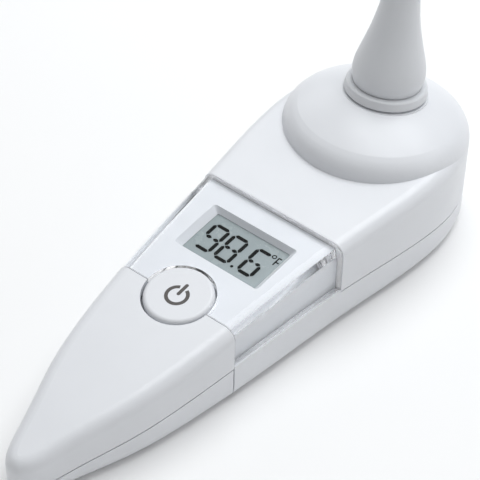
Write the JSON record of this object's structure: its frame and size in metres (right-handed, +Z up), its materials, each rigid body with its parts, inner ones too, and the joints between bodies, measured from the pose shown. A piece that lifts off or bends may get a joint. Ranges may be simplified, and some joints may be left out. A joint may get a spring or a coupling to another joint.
{
  "type": "infra-red ear thermometer",
  "caption": "Hand-held infra-red ear thermometer with an upright probe on a round head, a clear display lens, a round power button and a battery door in the handle.",
  "frame": {"origin": "centre of the flat rest face on the back, midway along and across the body", "axes": "+Z up out of the display and probe side, +Y from the handle tip to the round head, +X to the right of the display"},
  "size_m": [0.0454, 0.1406, 0.0589],
  "materials": {
    "shell_white": "satin moulded ABS",
    "clear_lens": "clear polished polycarbonate",
    "button_white": "satin, slightly soft",
    "switch_black": "moulded",
    "switch_plunger": "moulded",
    "circuit_board": "solder mask",
    "screw_steel": "zinc plated",
    "lcd_glass": "grey-green reflective display",
    "lcd_frame_white": "moulded",
    "zebra_rubber": "layered silicone",
    "chip_black": "moulded epoxy",
    "crystal_can": "nickel can",
    "capacitor_ceramic": "ceramic",
    "cell_steel": "nickel plated",
    "tray_black": "moulded",
    "spring_steel": "nickel plated spring strip",
    "probe_white": "satin, slightly greyer than the case",
    "ir_window": "infra-red filter",
    "gold_tube": "gold plated inside",
    "sensor_aluminium": "turned",
    "sensor_can": "nickel plated can",
    "ribbon_film": "polyimide film",
    "connector_ivory": "moulded"
  },
  "bodies": {
    "case": {"front_housing": "shell_white", "rear_housing": "shell_white", "display_lens": "clear_lens", "power_switch": "switch_black", "scan_switch": "switch_black", "scan_board": "circuit_board", "scan_board_screws": "screw_steel", "lcd_panel": "lcd_glass", "lcd_frame": "lcd_frame_white", "zebra_strips": "zebra_rubber", "main_board": "circuit_board", "controller_chip": "chip_black", "amplifier_chip": "chip_black", "crystal": "crystal_can", "capacitors": "capacitor_ceramic", "buzzer": "chip_black", "board_screws": "screw_steel", "coin_cell": "cell_steel", "battery_tray": "tray_black", "contact_negative": "spring_steel", "contact_positive": "spring_steel", "probe_collar": "probe_white", "probe_cone": "probe_white", "probe_window": "ir_window", "waveguide": "gold_tube", "sensor_block": "sensor_aluminium", "thermopile_sensor": "sensor_can", "sensor_board": "circuit_board", "probe_bracket": "tray_black", "bracket_screws": "screw_steel", "sensor_ribbon": "ribbon_film", "ribbon_connector": "connector_ivory", "case_screws": "screw_steel"},
    "power_key": {"power_button": "button_white", "power_plunger": "switch_plunger"},
    "scan_key": {"scan_button": "button_white", "scan_plunger": "switch_plunger"},
    "battery_door": {"battery_cover": "shell_white"}
  },
  "joints": [
    {"name": "power_press", "type": "slide", "parent": "case", "child": "power_key", "axis": [0, 0.1193, -0.9929], "range_m": [0, 0.0003], "stiffness_N_per_m": 5000},
    {"name": "scan_press", "type": "slide", "parent": "case", "child": "scan_key", "axis": [0, 0, 1], "range_m": [0, 0.0003], "stiffness_N_per_m": 5000},
    {"name": "battery_door_slide", "type": "slide", "parent": "case", "child": "battery_door", "axis": [0, -0.9903, -0.1392], "range_m": [0, 0.06]}
  ]
}
